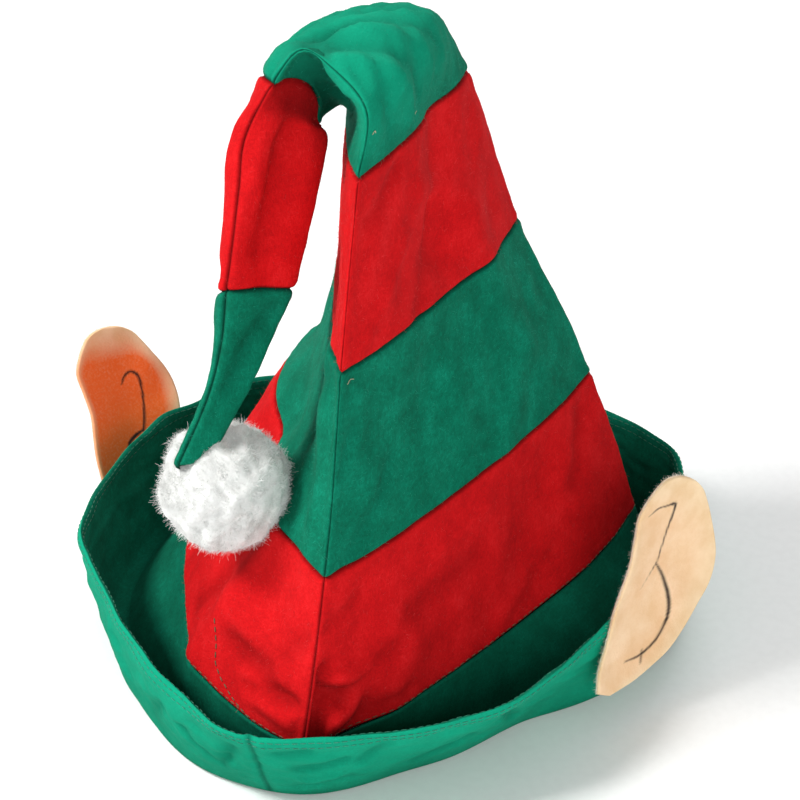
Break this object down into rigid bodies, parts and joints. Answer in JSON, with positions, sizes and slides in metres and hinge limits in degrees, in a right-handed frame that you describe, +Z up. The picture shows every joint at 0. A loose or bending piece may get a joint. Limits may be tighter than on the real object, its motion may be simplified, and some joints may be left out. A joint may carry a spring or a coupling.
{
  "type": "elf hat",
  "caption": "Pointed felt hat in wide green and red stripes, tip folded over and hanging forward to a white pompom, with a turned-up brim and two pointed ears.",
  "frame": {"origin": "middle of the ground that the hat covers, at the level it rests on", "axes": "+Z up, the hat's front towards -Y, its wearer's left hand ear towards +X"},
  "size_m": [0.2986, 0.2662, 0.2955],
  "materials": {
    "red_felt": "matt pressed felt, bright red",
    "green_felt": "matt pressed felt, blue-green",
    "ear_foam": "skin-coloured brushed cloth over thin foam, with airbrushed shading and dark drawn lines",
    "white_pile": "white fluffy pile"
  },
  "bodies": {
    "root": {"stripe_1_right": "red_felt", "stripe_1_back": "red_felt", "stripe_1_left": "red_felt", "stripe_2_right": "green_felt", "stripe_2_back": "green_felt", "stripe_2_left": "green_felt", "stripe_3_right": "red_felt", "stripe_3_back": "red_felt", "stripe_3_left": "red_felt", "stripe_4_right": "green_felt", "stripe_4_back": "green_felt", "stripe_4_left": "green_felt", "stripe_5_right": "red_felt", "stripe_5_back": "red_felt", "stripe_5_left": "red_felt", "stripe_6_right": "green_felt", "stripe_6_back": "green_felt", "stripe_6_left": "green_felt", "brim_band": "green_felt", "brim_foot": "green_felt", "brim_wall": "green_felt", "ear_right": "ear_foam", "ear_left": "ear_foam", "pompom": "white_pile"}
  },
  "joints": []
}
